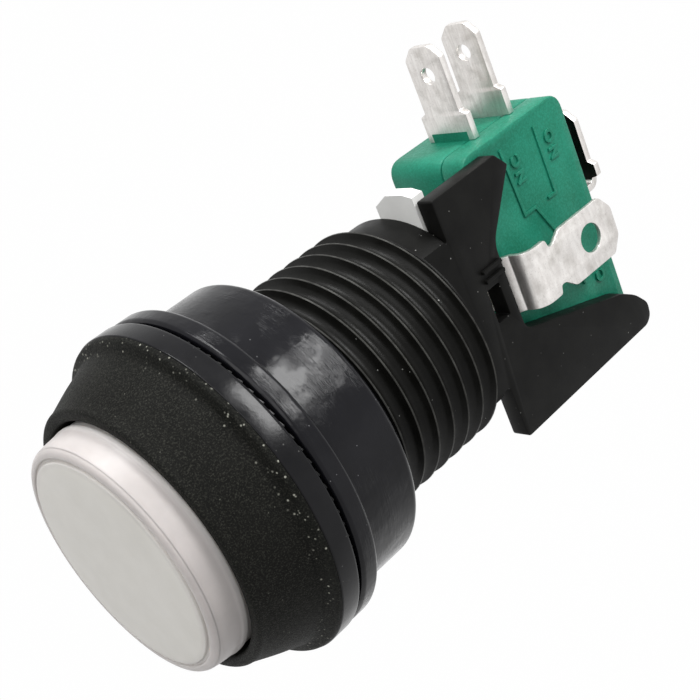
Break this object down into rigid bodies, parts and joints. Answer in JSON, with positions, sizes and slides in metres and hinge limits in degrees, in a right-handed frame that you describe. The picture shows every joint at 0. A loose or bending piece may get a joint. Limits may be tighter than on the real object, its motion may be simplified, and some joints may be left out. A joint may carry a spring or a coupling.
{
  "type": "illuminated push button",
  "caption": "Round illuminated push button with a threaded barrel, ring nut, frosted cap, lamp and side-mounted microswitch.",
  "frame": {"origin": "centre of the underside of the bezel, on the button's axis, where the head lies on the panel", "axes": "+Z along the button's axis towards the player's finger, +Y along the microswitch towards its two end tabs, +X towards the switch's marked broad side"},
  "size_m": [0.033, 0.0398, 0.0674],
  "materials": {
    "black_plastic": "fine spark-eroded grain on the head, satin elsewhere",
    "gloss_black": "glossy moulded",
    "black_steel": "blackened",
    "frosted_lens": "frosted translucent",
    "white_plastic": "satin",
    "spring_steel": "drawn wire",
    "lamp_resin": "clear cast resin",
    "tinned_metal": "stamped, tin plated",
    "green_plastic": "satin moulded",
    "pin_plastic": "satin moulded",
    "spring_bronze": "rolled strip",
    "silver_contact": "silver alloy"
  },
  "bodies": {
    "frame": {"housing": "black_plastic", "lamp_holder": "white_plastic", "lamp_base": "white_plastic", "lamp_dome": "lamp_resin", "lamp_lead_near": "tinned_metal", "lamp_lead_far": "tinned_metal", "lamp_terminal_near": "tinned_metal", "lamp_terminal_far": "tinned_metal", "switch_case": "green_plastic", "switch_cover": "green_plastic", "com_terminal": "tinned_metal", "nc_terminal": "tinned_metal", "no_terminal": "tinned_metal", "nc_contact": "silver_contact", "no_contact": "silver_contact", "snap_spring": "spring_bronze", "return_spring": "spring_steel"},
    "button": {"lens_cap": "frosted_lens", "diffuser": "white_plastic", "plunger": "white_plastic"},
    "pin": {"switch_pin": "pin_plastic"},
    "blade": {"contact_blade": "spring_bronze", "moving_contact": "silver_contact"},
    "washer": {"lock_washer": "black_steel"},
    "nut": {"panel_nut": "gloss_black"}
  },
  "joints": [
    {"name": "button_travel", "type": "slide", "parent": "frame", "child": "button", "axis": [0, 0, -1], "range_m": [0, 0.002], "stiffness_N_per_m": 300, "springref_m": -0.004, "deforming": ["return_spring"]},
    {"name": "pin_travel", "type": "slide", "parent": "frame", "child": "pin", "axis": [0, 0, -1], "range_m": [0, 0.002], "deforming": ["snap_spring"]},
    {"name": "blade_rock", "type": "hinge", "parent": "frame", "child": "blade", "pos_m": [0, -0.0122, -0.04269], "axis": [-1, 0, 0], "range_deg": [0, 2.1]},
    {"name": "nut_travel", "type": "slide", "parent": "frame", "child": "washer", "axis": [0, 0, 1], "range_m": [-0.0105, 0]},
    {"name": "nut_turn", "type": "hinge", "parent": "washer", "child": "nut", "pos_m": [0, 0, 0], "axis": [0, 0, 1], "range_deg": [-1800, 0]}
  ],
  "couplings": [
    {"joint": "pin_travel", "follows": "button_travel", "ratio": 1},
    {"joint": "blade_rock", "follows": "button_travel", "rad_per_m": 17.2},
    {"joint": "nut_turn", "follows": "nut_travel", "rad_per_m": 2992}
  ]
}
